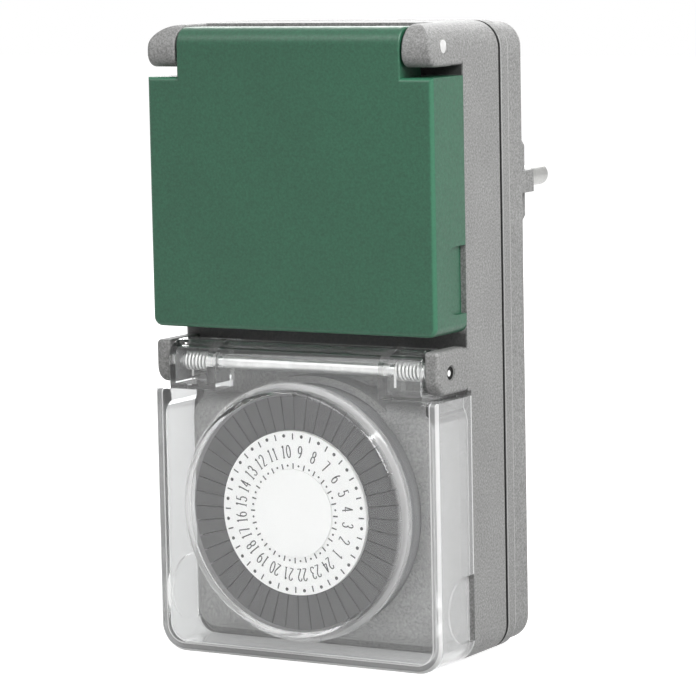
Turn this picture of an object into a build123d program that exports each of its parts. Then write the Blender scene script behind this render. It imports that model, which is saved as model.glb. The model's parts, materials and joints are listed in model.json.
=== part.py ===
"""Outdoor plug-in timer switch: a 24 hour segment dial behind a clear flap, a socket behind a green flap.

Millimetres.  The origin is the centre of the plug's face, between its two pins.  +Y points into the
wall socket, +Z is up, and the flaps face -Y.  Every piece of the device is a solid of its own.
"""
import os
from math import acos, atan2, cos, degrees, pi, radians, sin, sqrt, tan

from build123d import *

os.makedirs("parts", exist_ok=True)

# ---- overall sizes ---------------------------------------------------------------------------------
TOP_ABOVE_PLUG = 37.8        # plug axis to the top of the housing
SIDE_MARGIN = 6.4            # drum of the dial to the housing's side
BOTTOM_MARGIN = 3.85         # drum of the dial to the housing's bottom
NECK_LENGTH = 36.5           # back wall to the plug's face
REAR_DEPTH = 12.3            # back wall to the seam
FRONT_DEPTH = 16.0           # seam to the socket flap's seat
SOCKET_LID_DEPTH = 13.5
TIMER_SEAT_DROP = 1.5        # the clear flap sits this much further back than the green one
HOUSING_CORNER = 6.0
HOUSING_WALL = 2.2
SLIP = 0.15                  # gap between fixed pieces that slide together
RUN = 0.05                   # radial running clearance of shafts and rods
GAP = 0.4                    # gap between moving plastic faces

# ---- seam, back and screws -------------------------------------------------------------------------
GASKET_THICK = 0.7
GASKET_INSET = 0.8
GASKET_WIDTH = 1.3
SEAM_EDGE_R = 0.25
REAR_BAND = 3.7              # full-width band of the rear housing, behind the seam
REAR_STEP = 0.6
REAR_EDGE_R = 1.5
SCREW_R = 1.45
SCREW_HOLE_R = 1.5
SCREW_PASS_R = 1.8
SCREW_HEAD_R = 2.7
SCREW_HEAD_THICK = 1.8
SCREW_SINK = 1.2             # depth of the head's top below the back
SCREW_BITE = 9.0             # length of screw in the front housing
HEAD_POCKET_R = 3.0
CROSS_REACH = 1.6            # half the length of the recess for the driver
CROSS_HALF = 0.35
CROSS_DEPTH = 1.0
BOSS_R = 3.0
BOSS_FOOT_EXTRA = 0.6        # the rear housing's bosses are that much wider
BOSS_SIDE = 6.1              # side of the housing to the screws
BOSS_TOP_DROP = 6.1          # top of the housing to the upper screws
BOSS_BOTTOM_RISE = 5.6
PILOT_EXTRA = 1.0            # blind holes go that much deeper than their screws
FOOT_SINK = 1.0              # posts and raised parts start that deep in the wall that carries them

# ---- plug ------------------------------------------------------------------------------------------
PIN_R = 2.4
PIN_LENGTH = 19.0
PIN_PITCH = 19.0
PIN_TAIL = 8.0               # pin inside the neck, behind its carrier
PIN_TIP_BEVEL = 0.5
PIN_ROOT_R = 2.1             # thinner root, held by the carrier
PIN_ROOT_OUT = 0.5           # root that shows outside the face
NECK_R = 17.6
NECK_FLAT_X = 15.7
NECK_KEY_X = 18.0
NECK_KEY_HEIGHT = 5.0
NECK_WALL = 2.2
NECK_EDGE_R = 0.7
PIN_HOLE_BEVEL = 0.5         # round each pin on the carrier's face
CARRIER_THICK = 6.0
STRIP_THICK = 0.8
PLUG_EARTH_WIDTH = 5.2
PLUG_EARTH_LENGTH = 20.0
PLUG_EARTH_SINK = 0.7        # depth of the earth strip's face below the neck's surface
PLUG_EARTH_SET_BACK = 1.0    # neck's end to the strips' ends

# ---- socket ----------------------------------------------------------------------------------------
WELL_R = 19.5
WELL_FLAT_X = 16.2
WELL_KEY_X = 18.5
WELL_KEY_HEIGHT = 6.0
WELL_DEPTH = 17.5
WELL_WALL = 1.9
WELL_FLANGE = 0.6
WELL_FLANGE_THICK = 1.4
WELL_FLOOR = 2.5
WELL_TO_SEAL = 1.75          # flange to the flap's seal
SOCKET_HOLE_R = 2.7
SOCKET_EARTH_WIDTH = 5.2
SOCKET_EARTH_Z = 18.6        # contact face of the sprung earth strips
SOCKET_EARTH_SET_BACK = 3.3  # well's mouth to the strips' ends
SOCKET_EARTH_BACK_GAP = 1.0  # strap to the rear housing's wall
EARTH_SLOT_LEAD = 0.8        # the strips' slots start that much ahead of them
EARTH_SLOT_IN = 1.2          # and reach that far inwards, as room for the strips' spring
CONTACT_IN_R = 2.5
CONTACT_WALL = 0.8
CONTACT_LENGTH = 17.5
CONTACT_SLIT = 1.2
CONTACT_CAP = 1.5            # closed end of a contact sleeve
CONTACT_SLIT_REST = 3.0      # sleeve behind its slit
BLOCK_THICK = 3.6
BLOCK_HALF_X = 14.6
BLOCK_HALF_Z = 6.0
BAR_HALF = 2.0               # half the width of the bars
FEED_DROP = 8.0              # plug axis to the live feed's run under its contact
FEED_BACK_GAP = 2.2          # live feed's long run to the rear housing's wall
RETURN_HEIGHT = 3.5

# ---- flaps and hinges ------------------------------------------------------------------------------
LID_WALL = 1.8
LID_FRONT_R = 1.0
INNER_R = 0.5                # smallest corner radius of a moulded hollow
ROD_R = 1.4
ROD_RECESS = 0.3
CHEEK_OUT = 0.8              # thickness of the flap's outer hinge cheek
CHEEK_IN = 2.2
CHEEK_R = 3.4                # hinge axis to the cheeks' rear edge
CHEEK_FLOOR = 1.2            # floor that joins two cheeks below the spring
TONGUE_EDGE_R = 0.5
HOOD_BACK = 1.6              # hinge axis to the rear edge of the tongue's rounded top
EAR_HOLE_LIP = 0.25
SPRING_WIRE_R = 0.32
SPRING_TURNS = 8.0
SPRING_ROD_GAP = 0.12
SPRING_LEG = 3.4
SPRING_ROOM = 8.0
LIDS_GAP = 3.1               # green flap to the clear flap's tongue
SOCKET_LID_CORNER = 2.0
SOCKET_HINGE_DROP = 4.7      # top of the housing to the hinge axis
SOCKET_HINGE_IN = 5.7        # behind the flap's front
SOCKET_EAR_WIDTH = 7.2
SOCKET_TONGUE_RISE = 4.2     # hinge axis to the tongue's top
SOCKET_TONGUE_R = 3.6
SOCKET_SHOULDER_DROP = 6.3   # hinge axis to the flap's shoulders
SOCKET_EAR_DROP = 4.2
SOCKET_EAR_FOOT_R = 2.8
SOCKET_EAR_HEAD_R = 5.4
EAR_SIDE_R = 1.0             # edge radius on the ears' outer sides
EAR_INNER_R = 0.5
TIMER_HINGE_IN = 6.2
TIMER_EAR_WIDTH = 3.4
TIMER_TONGUE_RISE = 4.8
TIMER_TONGUE_R = 4.2
TIMER_SHOULDER_DROP = 5.8
TIMER_EAR_FRONT = 5.3        # hinge axis to the ear's front
TIMER_EAR_DROP = 4.6
TIMER_EAR_FOOT_R = 3.6
TIMER_EAR_HEAD_R = 0.8
HINGE_TO_DRUM = 2.35         # clear flap's hinge axis to the dial's drum
TIMER_LID_CORNER = 6.0
GRIP_HEIGHT = 14.4
GRIP_REACH = 11.0
GRIP_SINK = 0.8
GRIP_NOTCH = 1.5
GRIP_NOTCH_SINK = 1.3
SOCKET_GRIP_RISE = 11.2      # flap's bottom to the middle of its finger grip
TIMER_GRIP_RISE = 12.2
SEAL_WIDTH = 1.3
SEAL_HEIGHT = 1.8
SEAL_TOP_GAP = 1.6           # room for the flap's shoulder wall as it swings down

# ---- timer dial ------------------------------------------------------------------------------------
SEGMENT_COUNT = 48
DISC_R = 17.7
DISC_THICK = 1.2
CAP_R = 9.5
CAP_THICK = 0.5
CAP_LIP = 1.5                # cap's edge over the disc's hole
SEGMENT_OUT_R = 25.35
SEGMENT_IN_GAP = 0.1
SEGMENT_GAP = 0.25
SEGMENT_SET_BACK = 0.8       # disc's face to the segments' faces
SEGMENT_HEAD = 4.3
FOOT_IN_R = 21.3
FOOT_OUT_R = 24.1
FOOT_HALF = 0.65
FOOT_LENGTH = 6.2
SEGMENT_TRAVEL = 2.0
TRAVEL_SPARE = 0.3
WHEEL_FLOOR = 1.2
WHEEL_RIM = 1.1
WHEEL_WEB = 1.6
WHEEL_WALL = 1.6
HUB_WALL = 2.4
ARBOR_R = 2.0
ARBOR_END_GAP = 0.2          # front end of the dial's arbor to the cap
ARBOR_SHOULDER = 3.45        # arbor's thicker part behind the dial gear
DRUM_GAP = 0.3
DRUM_WALL = 1.6
RIM_SET_BACK = 2.4           # flap's front to the edge of the wheel's rim
PLATEAU_SET_BACK = 7.2
PLATEAU_MARGIN = 3.8
PLATEAU_TOP_DROP = 7.9       # clear flap's hinge axis to the plateau's top
PLATEAU_R = 5.0
PLATEAU_EDGE_R = 4.0
DOME_RISE = 2.8
DOME_R = 27.8
DOME_TAPER = 1.6             # radius that the dome loses over its rise
DOME_EDGE_R = 1.1
DOME_WALL = 1.6

# ---- gear train ------------------------------------------------------------------------------------
PRESSURE_ANGLE = 20.0
BACKLASH = 0.14
SLOW_MODULE = 0.8
DIAL_TEETH = 50
SLOW_PINION_TEETH = 12
FAST_MODULE = 0.6
REDUCTION_TEETH = 36
MOTOR_PINION_TEETH = 10
TRAIN_ANGLE = -35.0          # direction from the dial's axis to the reduction gear
MOTOR_ANGLE = 180.0          # direction from the reduction gear to the motor pinion
GEAR_THICK = 2.4
GEAR_SIDE_GAP = 0.2
SLOW_PINION_THICK = 4.6
FAST_GEAR_THICK = 2.2
FAST_PINION_THICK = 3.0
SMALL_ARBOR_R = 1.0
SMALL_SHOULDER = 0.8
PLATE_THICK = 2.0
PLATE_GAP = 4.0              # reduction gear to the plate
PLATE_SIDE_GAP = 1.3
PLATE_TOP_DROP = 0.7         # clear flap's hinge axis to the plate's top
MOTOR_R = 18.0
MOTOR_DEPTH = 12.0
MOTOR_WALL = 0.8
MOTOR_FRONT = 1.5            # thickness of the can's front
MOTOR_COLLAR = 4.0
MOTOR_SHAFT_TAIL = 5.0       # shaft inside the can
COIL_WIDTH = 4.4
MOTOR_SHIFT_X = -11.9        # motor pinion to the motor's axis
MOTOR_SHIFT_Z = 8.1
TIMER_POST_R = 2.8
TIMER_SCREW_BITE = 5.0
TIMER_POST_SIDE = 7.5        # side of the housing to the posts
TIMER_POST_RISE = 19.85      # dial's axis to the upper posts
TIMER_POST_DROP = 18.15

# ---- switch ----------------------------------------------------------------------------------------
LEVER_SEGMENT = 43           # segment that stands in front of the lever
LEVER_WIDTH = 2.8
LEVER_PIVOT_AHEAD = 6.1      # plate's front to the lever's pivot
LEVER_ARM = 11.5             # pivot to the middle of the nose
LEVER_ARM_THICK = 1.4
LEVER_ARM_GAP = 0.6          # dial gear's back to the lever's arm
LEVER_BOSS_R = 1.8
LEVER_PIN_R = 0.8
LEVER_NOSE = 2.0
LEVER_NOSE_GAP = 0.3
LUG_WIDTH = 1.6
SWITCH_HALF_X = 7.0
SWITCH_HEIGHT = 11.0
SWITCH_THICK = 4.0
SWITCH_ABOVE_PIVOT = 2.4     # lever's pivot to the switch's lower edge
PLUNGER_R = 0.9
PLUNGER_GAP = 0.25
PLUNGER_ARM = 9.0            # lever's pivot to the plunger
PLUNGER_HELD = 1.6           # plunger inside the switch body at rest
PLUNGER_BORE_FLOOR = 0.6
SWITCH_BAR_DROP = 1.6        # top of the switch body to its bars

# ---- places worked out from the sizes above --------------------------------------------------------
WHEEL_RIM_IN = SEGMENT_OUT_R + SEGMENT_GAP
WHEEL_RIM_OUT = WHEEL_RIM_IN + WHEEL_RIM
DRUM_IN_R = WHEEL_RIM_OUT + DRUM_GAP
DRUM_OUT_R = DRUM_IN_R + DRUM_WALL
SOCKET_LID_BOTTOM = -(WELL_R + WELL_WALL + WELL_FLANGE + WELL_TO_SEAL + SEAL_WIDTH + SLIP + LID_WALL)
TIMER_HINGE_Z = SOCKET_LID_BOTTOM - LIDS_GAP - TIMER_TONGUE_RISE
DIAL_Z = TIMER_HINGE_Z - HINGE_TO_DRUM - DRUM_OUT_R
BODY_HALF = DRUM_OUT_R + SIDE_MARGIN
BODY_TOP = TOP_ABOVE_PLUG
BODY_BOTTOM = DIAL_Z - DRUM_OUT_R - BOTTOM_MARGIN
Y_BACK = -NECK_LENGTH
Y_SEAM = Y_BACK - REAR_DEPTH
Y_SEAT = Y_SEAM - FRONT_DEPTH
Y_FRONT = Y_SEAT - SOCKET_LID_DEPTH
Y_TIMER_SEAT = Y_SEAT + TIMER_SEAT_DROP
Y_BACK_WALL = Y_BACK - HOUSING_WALL
PIN_X = PIN_PITCH / 2
SOCKET_HINGE = (Y_FRONT + SOCKET_HINGE_IN, BODY_TOP - SOCKET_HINGE_DROP)
TIMER_HINGE = (Y_FRONT + TIMER_HINGE_IN, TIMER_HINGE_Z)
SOCKET_TONGUE_HALF = BODY_HALF - SOCKET_EAR_WIDTH - GAP
TIMER_TONGUE_HALF = BODY_HALF - TIMER_EAR_WIDTH - GAP
TIMER_STEP_Z = TIMER_HINGE[1] - TIMER_EAR_DROP
BOSS_TOP_Z = BODY_TOP - BOSS_TOP_DROP
BOSS_BOTTOM_Z = BODY_BOTTOM + BOSS_BOTTOM_RISE
BOSSES = [(side * (BODY_HALF - BOSS_SIDE), z) for side in (-1, 1) for z in (BOSS_TOP_Z, BOSS_BOTTOM_Z)]
PLATEAU_TOP = TIMER_HINGE_Z - PLATEAU_TOP_DROP
PLATEAU_BOTTOM = BODY_BOTTOM + PLATEAU_MARGIN
PLATEAU_HALF = BODY_HALF - PLATEAU_MARGIN
Y_PLATEAU = Y_FRONT + PLATEAU_SET_BACK

# socket and plug, from the flap's seat backwards
Y_WELL_FLOOR = Y_SEAT + WELL_DEPTH
Y_WELL_BACK = Y_WELL_FLOOR + WELL_FLOOR
Y_SOCKET_EARTH = Y_SEAT + SOCKET_EARTH_SET_BACK
Y_SOCKET_EARTH_BACK = Y_BACK_WALL - SOCKET_EARTH_BACK_GAP
Y_CONTACT = Y_WELL_BACK + SLIP
Y_CONTACT_BACK = Y_CONTACT + CONTACT_LENGTH
Y_LIVE_BAR = Y_BACK_WALL - FEED_BACK_GAP
PIN_INNER_END = -CARRIER_THICK - PIN_TAIL
RETURN_X = PIN_X + CONTACT_IN_R + CONTACT_WALL

# dial, from its face backwards
Y_DISC_BACK = Y_FRONT + DISC_THICK
Y_SEGMENT = Y_FRONT + SEGMENT_SET_BACK
Y_HEAD_BACK = Y_SEGMENT + SEGMENT_HEAD
Y_FOOT_BACK = Y_HEAD_BACK + FOOT_LENGTH
Y_FLOOR = Y_HEAD_BACK + SEGMENT_TRAVEL + TRAVEL_SPARE
Y_DIAL_GEAR = Y_FOOT_BACK + SEGMENT_TRAVEL + 2 * GEAR_SIDE_GAP
Y_DIAL_GEAR_BACK = Y_DIAL_GEAR + GEAR_THICK
Y_RIM = Y_FRONT + RIM_SET_BACK
HUB_IN_R = ARBOR_R + RUN
HUB_OUT_R = HUB_IN_R + HUB_WALL

# gears, from the dial gear backwards to the plate
Y_SLOW_PINION = Y_DIAL_GEAR - GEAR_SIDE_GAP
Y_REDUCTION = Y_SLOW_PINION + SLOW_PINION_THICK
Y_REDUCTION_BACK = Y_REDUCTION + FAST_GEAR_THICK
Y_MOTOR_PINION = Y_REDUCTION - (FAST_PINION_THICK - FAST_GEAR_THICK) / 2
Y_PLATE = Y_REDUCTION_BACK + PLATE_GAP
Y_PLATE_BACK = Y_PLATE + PLATE_THICK
SLOW_CENTRES = SLOW_MODULE * (DIAL_TEETH + SLOW_PINION_TEETH) / 2
FAST_CENTRES = FAST_MODULE * (REDUCTION_TEETH + MOTOR_PINION_TEETH) / 2
REDUCTION_X = SLOW_CENTRES * cos(radians(TRAIN_ANGLE))
REDUCTION_Z = DIAL_Z + SLOW_CENTRES * sin(radians(TRAIN_ANGLE))
MOTOR_PINION_X = REDUCTION_X + FAST_CENTRES * cos(radians(MOTOR_ANGLE))
MOTOR_PINION_Z = REDUCTION_Z + FAST_CENTRES * sin(radians(MOTOR_ANGLE))
MOTOR_X = MOTOR_PINION_X + MOTOR_SHIFT_X
MOTOR_Z = MOTOR_PINION_Z + MOTOR_SHIFT_Z
TIMER_POST_X = BODY_HALF - TIMER_POST_SIDE
TIMER_POSTS = [
    (-TIMER_POST_X, DIAL_Z + TIMER_POST_RISE),
    (TIMER_POST_X, DIAL_Z + TIMER_POST_RISE),
    (-TIMER_POST_X, DIAL_Z - TIMER_POST_DROP),
]
FOOT_MID_R = (FOOT_IN_R + FOOT_OUT_R) / 2
LEVER_ANGLE = 90 + (LEVER_SEGMENT + 0.5) * 360 / SEGMENT_COUNT
LEVER_X = FOOT_MID_R * cos(radians(LEVER_ANGLE))
LEVER_NOSE_Z = DIAL_Z + FOOT_MID_R * sin(radians(LEVER_ANGLE))
LEVER_PIVOT = (Y_PLATE - LEVER_PIVOT_AHEAD, LEVER_NOSE_Z - LEVER_ARM)
Y_LEVER_ARM = Y_DIAL_GEAR_BACK + LEVER_ARM_GAP
Y_LEVER_BACK = Y_LEVER_ARM + LEVER_ARM_THICK
Y_SWITCH = Y_PLATE - SWITCH_THICK
Y_PLUNGER = Y_LEVER_BACK + PLUNGER_GAP
PLUNGER_Z = LEVER_PIVOT[1] + PLUNGER_ARM
SWITCH_BOTTOM = LEVER_PIVOT[1] + SWITCH_ABOVE_PIVOT
SWITCH_BAR_Z = SWITCH_BOTTOM + SWITCH_HEIGHT - SWITCH_BAR_DROP


# ---- helpers ---------------------------------------------------------------------------------------
def front_plane(y):
    """Plane at depth y with local x = X and local y = Z; an extrusion goes towards the front, -Y."""
    return Plane(origin=(0, y, 0), x_dir=(1, 0, 0), z_dir=(0, -1, 0))


def side_plane(x):
    """Plane at x with local x = Y and local y = Z; an extrusion goes towards +X."""
    return Plane(origin=(x, 0, 0), x_dir=(0, 1, 0), z_dir=(1, 0, 0))


def slab(sketch, y_front, y_back):
    """Extrude an X, Z sketch between two depths."""
    return extrude(front_plane(y_back) * sketch, amount=y_back - y_front)


def across(sketch, x_left, x_right):
    """Extrude a Y, Z sketch between two x positions."""
    return extrude(side_plane(x_left) * sketch, amount=x_right - x_left)


def block(x, y, z):
    """Box from three (low, high) pairs."""
    size = [high - low for low, high in (x, y, z)]
    middle = [(high + low) / 2 for low, high in (x, y, z)]
    return Pos(*middle) * Box(*size)


def disc(radius, x=0.0, z=0.0):
    return Pos(x, z) * Circle(radius)


def ring(outer, inner, x=0.0, z=0.0):
    return disc(outer, x, z) - disc(inner, x, z)


def rod_x(radius, x_left, x_right, y, z):
    """Round bar along X."""
    return across(disc(radius, y, z), x_left, x_right)


def frustum(radius_front, radius_back, y_front, y_back, z):
    """Cone-shaped disc along Y."""
    cone = Cone(radius_back, radius_front, y_back - y_front)
    return Pos(0, (y_front + y_back) / 2, z) * (Rot(90, 0, 0) * cone)


def panel(half, z_low, z_high, radius):
    """Rounded rectangle, centred in X."""
    return Pos(0, (z_low + z_high) / 2) * RectangleRounded(2 * half, z_high - z_low, radius)


def rectangle(x_low, x_high, z_low, z_high):
    return Pos((x_low + x_high) / 2, (z_low + z_high) / 2) * Rectangle(x_high - x_low, z_high - z_low)


def flatted(radius, flat_x, key_x, key_height):
    """Round outline with two side flats, each with a key standing on it."""
    return (disc(radius) & Rectangle(2 * flat_x, 2 * radius)) + Rectangle(2 * key_x, key_height)


def edges_at_y(solid, y, tolerance=0.01):
    """Edges that lie in the plane at depth y."""
    return [
        edge for edge in solid.edges()
        if abs(edge.bounding_box().min.Y - y) < tolerance and abs(edge.bounding_box().max.Y - y) < tolerance
    ]


def edges_at_x(solid, x, tolerance=0.01):
    """Edges that lie in the plane at x."""
    return [
        edge for edge in solid.edges()
        if abs(edge.bounding_box().min.X - x) < tolerance and abs(edge.bounding_box().max.X - x) < tolerance
    ]


def gear_outline(module, teeth, phase=0.0):
    """Spur gear outline with involute flanks; phase turns the first tooth, in degrees."""
    pitch = module * teeth / 2
    base = pitch * cos(radians(PRESSURE_ANGLE))
    tip = pitch + module
    root = pitch - 1.25 * module
    half_pitch = pi / (2 * teeth) - BACKLASH / (2 * pitch)
    pressure = radians(PRESSURE_ANGLE)
    half_base = half_pitch + tan(pressure) - pressure
    steps = 4
    start = max(base, root)
    flank = []
    for step in range(steps + 1):
        radius = start + (tip - start) * step / steps
        roll = acos(base / radius)
        flank.append((radius, half_base - (tan(roll) - roll)))
    if start > root + 0.01:
        flank.insert(0, (root, flank[0][1]))
    points = []
    for tooth in range(teeth):
        middle = radians(phase) + 2 * pi * tooth / teeth
        for radius, half in flank:
            points.append((radius * cos(middle - half), radius * sin(middle - half)))
        for radius, half in flank[::-1]:
            points.append((radius * cos(middle + half), radius * sin(middle + half)))
    return make_face(Polyline(*points, close=True))


def save(name, solid):
    export_step(solid, f"parts/{name}.step")
    print(name, round(solid.volume, 1))


# ---- housing ---------------------------------------------------------------------------------------
def ear_profile(hinge, front, head_radius, foot_radius, top, drop):
    """Side view of a hinge ear: from the housing's face forward, rounded at its front corners."""
    y, z = hinge
    outline = rectangle(y - front, Y_SEAT + HOUSING_WALL, z - drop, top)
    front_corners = outline.vertices().sort_by(Axis.X)[:2]
    outline = fillet(front_corners.sort_by(Axis.Y)[0], foot_radius)
    top_corners = outline.vertices().filter_by(lambda v: abs(v.Y - top) < 0.01)
    return fillet(top_corners.sort_by(Axis.X)[0], head_radius)


def make_ear_pair(profile, width):
    """Two hinge ears, with rounded edges on their outer sides and smaller ones towards the flap."""
    ear = across(profile, BODY_HALF - width, BODY_HALF)
    ear = fillet(edges_at_x(ear, BODY_HALF), EAR_SIDE_R)
    ear = fillet(edges_at_x(ear, BODY_HALF - width), EAR_INNER_R)
    return ear + mirror(ear, about=Plane.YZ)


def housing_outline(inset=0.0):
    radius = max(HOUSING_CORNER - inset, INNER_R)
    return panel(BODY_HALF - inset, BODY_BOTTOM + inset, BODY_TOP - inset, radius)


def make_front_housing():
    shell = slab(housing_outline(), Y_SEAT, Y_SEAM)
    shell = fillet(edges_at_y(shell, Y_SEAM), SEAM_EDGE_R)
    shell -= block((-BODY_HALF, BODY_HALF), (Y_SEAT, Y_TIMER_SEAT), (BODY_BOTTOM, TIMER_STEP_Z))
    y_foot = Y_TIMER_SEAT + FOOT_SINK
    plateau = slab(panel(PLATEAU_HALF, PLATEAU_BOTTOM, PLATEAU_TOP, PLATEAU_R), Y_PLATEAU, y_foot)
    plateau = fillet(edges_at_y(plateau, Y_PLATEAU), PLATEAU_EDGE_R)
    shell += plateau

    # inside: one cavity, a little deeper behind the socket, and the hollow of the plateau
    shell -= slab(housing_outline(HOUSING_WALL), Y_TIMER_SEAT + HOUSING_WALL, Y_SEAM)
    upper = panel(BODY_HALF - HOUSING_WALL, TIMER_STEP_Z + HOUSING_WALL, BODY_TOP - HOUSING_WALL,
                  HOUSING_CORNER - HOUSING_WALL)
    shell -= slab(upper, Y_SEAT + HOUSING_WALL, Y_SEAM)
    hollow = panel(PLATEAU_HALF - HOUSING_WALL, PLATEAU_BOTTOM + HOUSING_WALL, PLATEAU_TOP - HOUSING_WALL,
                   PLATEAU_R - HOUSING_WALL)
    shell -= slab(hollow, Y_PLATEAU + HOUSING_WALL, Y_SEAM)
    shell += slab(disc(DRUM_OUT_R, 0, DIAL_Z), Y_PLATEAU + FOOT_SINK, Y_TIMER_SEAT + HOUSING_WALL)
    shell -= slab(disc(DRUM_IN_R, 0, DIAL_Z), Y_PLATEAU, Y_SEAM)
    shell -= slab(disc(WELL_R + WELL_WALL + SLIP), Y_SEAT, Y_SEAM)

    pinion_room = SLOW_MODULE * (SLOW_PINION_TEETH / 2 + 1) + GAP
    shell -= slab(disc(pinion_room, REDUCTION_X, REDUCTION_Z), Y_SLOW_PINION - GAP, Y_SEAM)

    # screw bosses for the rear housing and for the timer plate
    for x, z in BOSSES:
        shell += slab(disc(BOSS_R, x, z), y_foot, Y_SEAM)
        shell -= slab(disc(SCREW_HOLE_R, x, z), Y_SEAM - SCREW_BITE - PILOT_EXTRA, Y_SEAM)
    for x, z in TIMER_POSTS:
        foot = Y_PLATEAU + PLATEAU_EDGE_R if z < PLATEAU_TOP else y_foot
        shell += slab(disc(TIMER_POST_R, x, z), foot, Y_PLATE)
        shell -= slab(disc(SCREW_HOLE_R, x, z), Y_PLATE - TIMER_SCREW_BITE - PILOT_EXTRA, Y_PLATE)

    socket_ear = ear_profile(SOCKET_HINGE, SOCKET_HINGE_IN, SOCKET_EAR_HEAD_R, SOCKET_EAR_FOOT_R,
                             BODY_TOP, SOCKET_EAR_DROP)
    timer_ear = ear_profile(TIMER_HINGE, TIMER_EAR_FRONT, TIMER_EAR_HEAD_R, TIMER_EAR_FOOT_R,
                            TIMER_HINGE[1] + TIMER_TONGUE_RISE, TIMER_EAR_DROP)
    socket_ears = make_ear_pair(socket_ear, SOCKET_EAR_WIDTH) & slab(housing_outline(), Y_FRONT, Y_SEAM)
    timer_ears = make_ear_pair(timer_ear, TIMER_EAR_WIDTH)
    kept = block((-BODY_HALF, BODY_HALF), (Y_FRONT, Y_SEAT + FOOT_SINK), (BODY_BOTTOM, BODY_TOP))
    for ears, hinge in ((socket_ears, SOCKET_HINGE), (timer_ears, TIMER_HINGE)):
        solid = ears - rod_x(ROD_R + RUN, -BODY_HALF, BODY_HALF, *hinge)
        for side in (-1, 1):
            lip = sorted((side * (BODY_HALF - ROD_RECESS / 2), side * BODY_HALF))
            solid -= rod_x(ROD_R + RUN + EAR_HOLE_LIP, *lip, *hinge)
        shell += solid & kept
    return shell


def make_rear_housing():
    y_band = Y_SEAM + GASKET_THICK
    band = slab(housing_outline(), y_band, y_band + REAR_BAND)
    band = fillet(edges_at_y(band, y_band) + edges_at_y(band, y_band + REAR_BAND), SEAM_EDGE_R)
    back = slab(housing_outline(REAR_STEP), Y_SEAM + GASKET_THICK, Y_BACK)
    back = fillet(edges_at_y(back, Y_BACK), REAR_EDGE_R)
    shell = band + back
    shell -= slab(housing_outline(REAR_STEP + HOUSING_WALL), Y_SEAM, Y_BACK_WALL)
    shell -= slab(neck_bore(), Y_BACK_WALL, Y_BACK)
    for x, z in BOSSES:
        boss = disc(BOSS_R + BOSS_FOOT_EXTRA, x, z) & housing_outline(REAR_STEP)
        shell += slab(boss, Y_SEAM + GASKET_THICK, Y_BACK - FOOT_SINK)
        shell -= slab(disc(SCREW_PASS_R, x, z), Y_SEAM, Y_BACK)
        shell -= slab(disc(HEAD_POCKET_R, x, z), Y_BACK - SCREW_SINK - SCREW_HEAD_THICK, Y_BACK)
    return shell


def make_plug_neck():
    """Long tube that reaches into the wall socket, with grooves and slots for the earth strap."""
    neck = slab(flatted(NECK_R, NECK_FLAT_X, NECK_KEY_X, NECK_KEY_HEIGHT), Y_BACK, 0)
    neck = fillet(edges_at_y(neck, 0), NECK_EDGE_R)
    neck -= slab(neck_bore(), Y_BACK, 0)
    groove_x = (-PLUG_EARTH_WIDTH / 2 - SLIP, PLUG_EARTH_WIDTH / 2 + SLIP)
    groove_y = (-PLUG_EARTH_LENGTH - SLIP, 0)
    slot_y = (-PLUG_EARTH_LENGTH - SLIP, -PLUG_EARTH_LENGTH + STRIP_THICK + SLIP)
    for side in (-1, 1):
        floor = side * (NECK_R - PLUG_EARTH_SINK - STRIP_THICK - SLIP)
        neck -= block(groove_x, groove_y, sorted((side * NECK_R, floor)))
        neck -= block(groove_x, slot_y, sorted((side * NECK_R, side * (NECK_R - 2 * NECK_WALL))))
    return neck


def neck_bore():
    return disc(NECK_R - NECK_WALL) & Rectangle(2 * (NECK_FLAT_X - NECK_WALL), 2 * NECK_R)


def make_gasket():
    outer = housing_outline(GASKET_INSET)
    return slab(outer - housing_outline(GASKET_INSET + GASKET_WIDTH), Y_SEAM, Y_SEAM + GASKET_THICK)


def make_screw(x, z, y_head_back, length):
    """Pan head screw with a cross recess, driven from the back."""
    y_head = y_head_back - SCREW_HEAD_THICK
    head = slab(disc(SCREW_HEAD_R, x, z), y_head, y_head_back)
    shank = slab(disc(SCREW_R, x, z), y_head - length, y_head)
    cross = Rectangle(2 * CROSS_REACH, 2 * CROSS_HALF) + Rectangle(2 * CROSS_HALF, 2 * CROSS_REACH)
    return head + shank - slab(Pos(x, z) * cross, y_head_back - CROSS_DEPTH, y_head_back)


def make_housing_screws():
    length = Y_BACK - SCREW_SINK - SCREW_HEAD_THICK - Y_SEAM + SCREW_BITE
    return Compound(children=[make_screw(x, z, Y_BACK - SCREW_SINK, length) for x, z in BOSSES])


# ---- plug ------------------------------------------------------------------------------------------
def make_pin(x):
    """Plug pin: a plain shank, and a thinner root that the carrier holds."""
    shank = slab(disc(PIN_R, x), PIN_ROOT_OUT, PIN_LENGTH)
    shank = chamfer(edges_at_y(shank, PIN_LENGTH), PIN_TIP_BEVEL)
    return shank + slab(disc(PIN_ROOT_R, x), -CARRIER_THICK - PIN_TAIL, PIN_ROOT_OUT)


def make_pin_carrier():
    outline = disc(NECK_R - NECK_WALL - SLIP) & Rectangle(2 * (NECK_FLAT_X - NECK_WALL - SLIP), 2 * NECK_R)
    carrier = slab(outline, -CARRIER_THICK, 0)
    for side in (-1, 1):
        carrier -= slab(disc(PIN_ROOT_R, side * PIN_X), -CARRIER_THICK, 0)
    rims = [edge for edge in edges_at_y(carrier, 0) if abs(edge.length - 2 * pi * PIN_ROOT_R) < 0.01]
    return chamfer(rims, PIN_HOLE_BEVEL)


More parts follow.
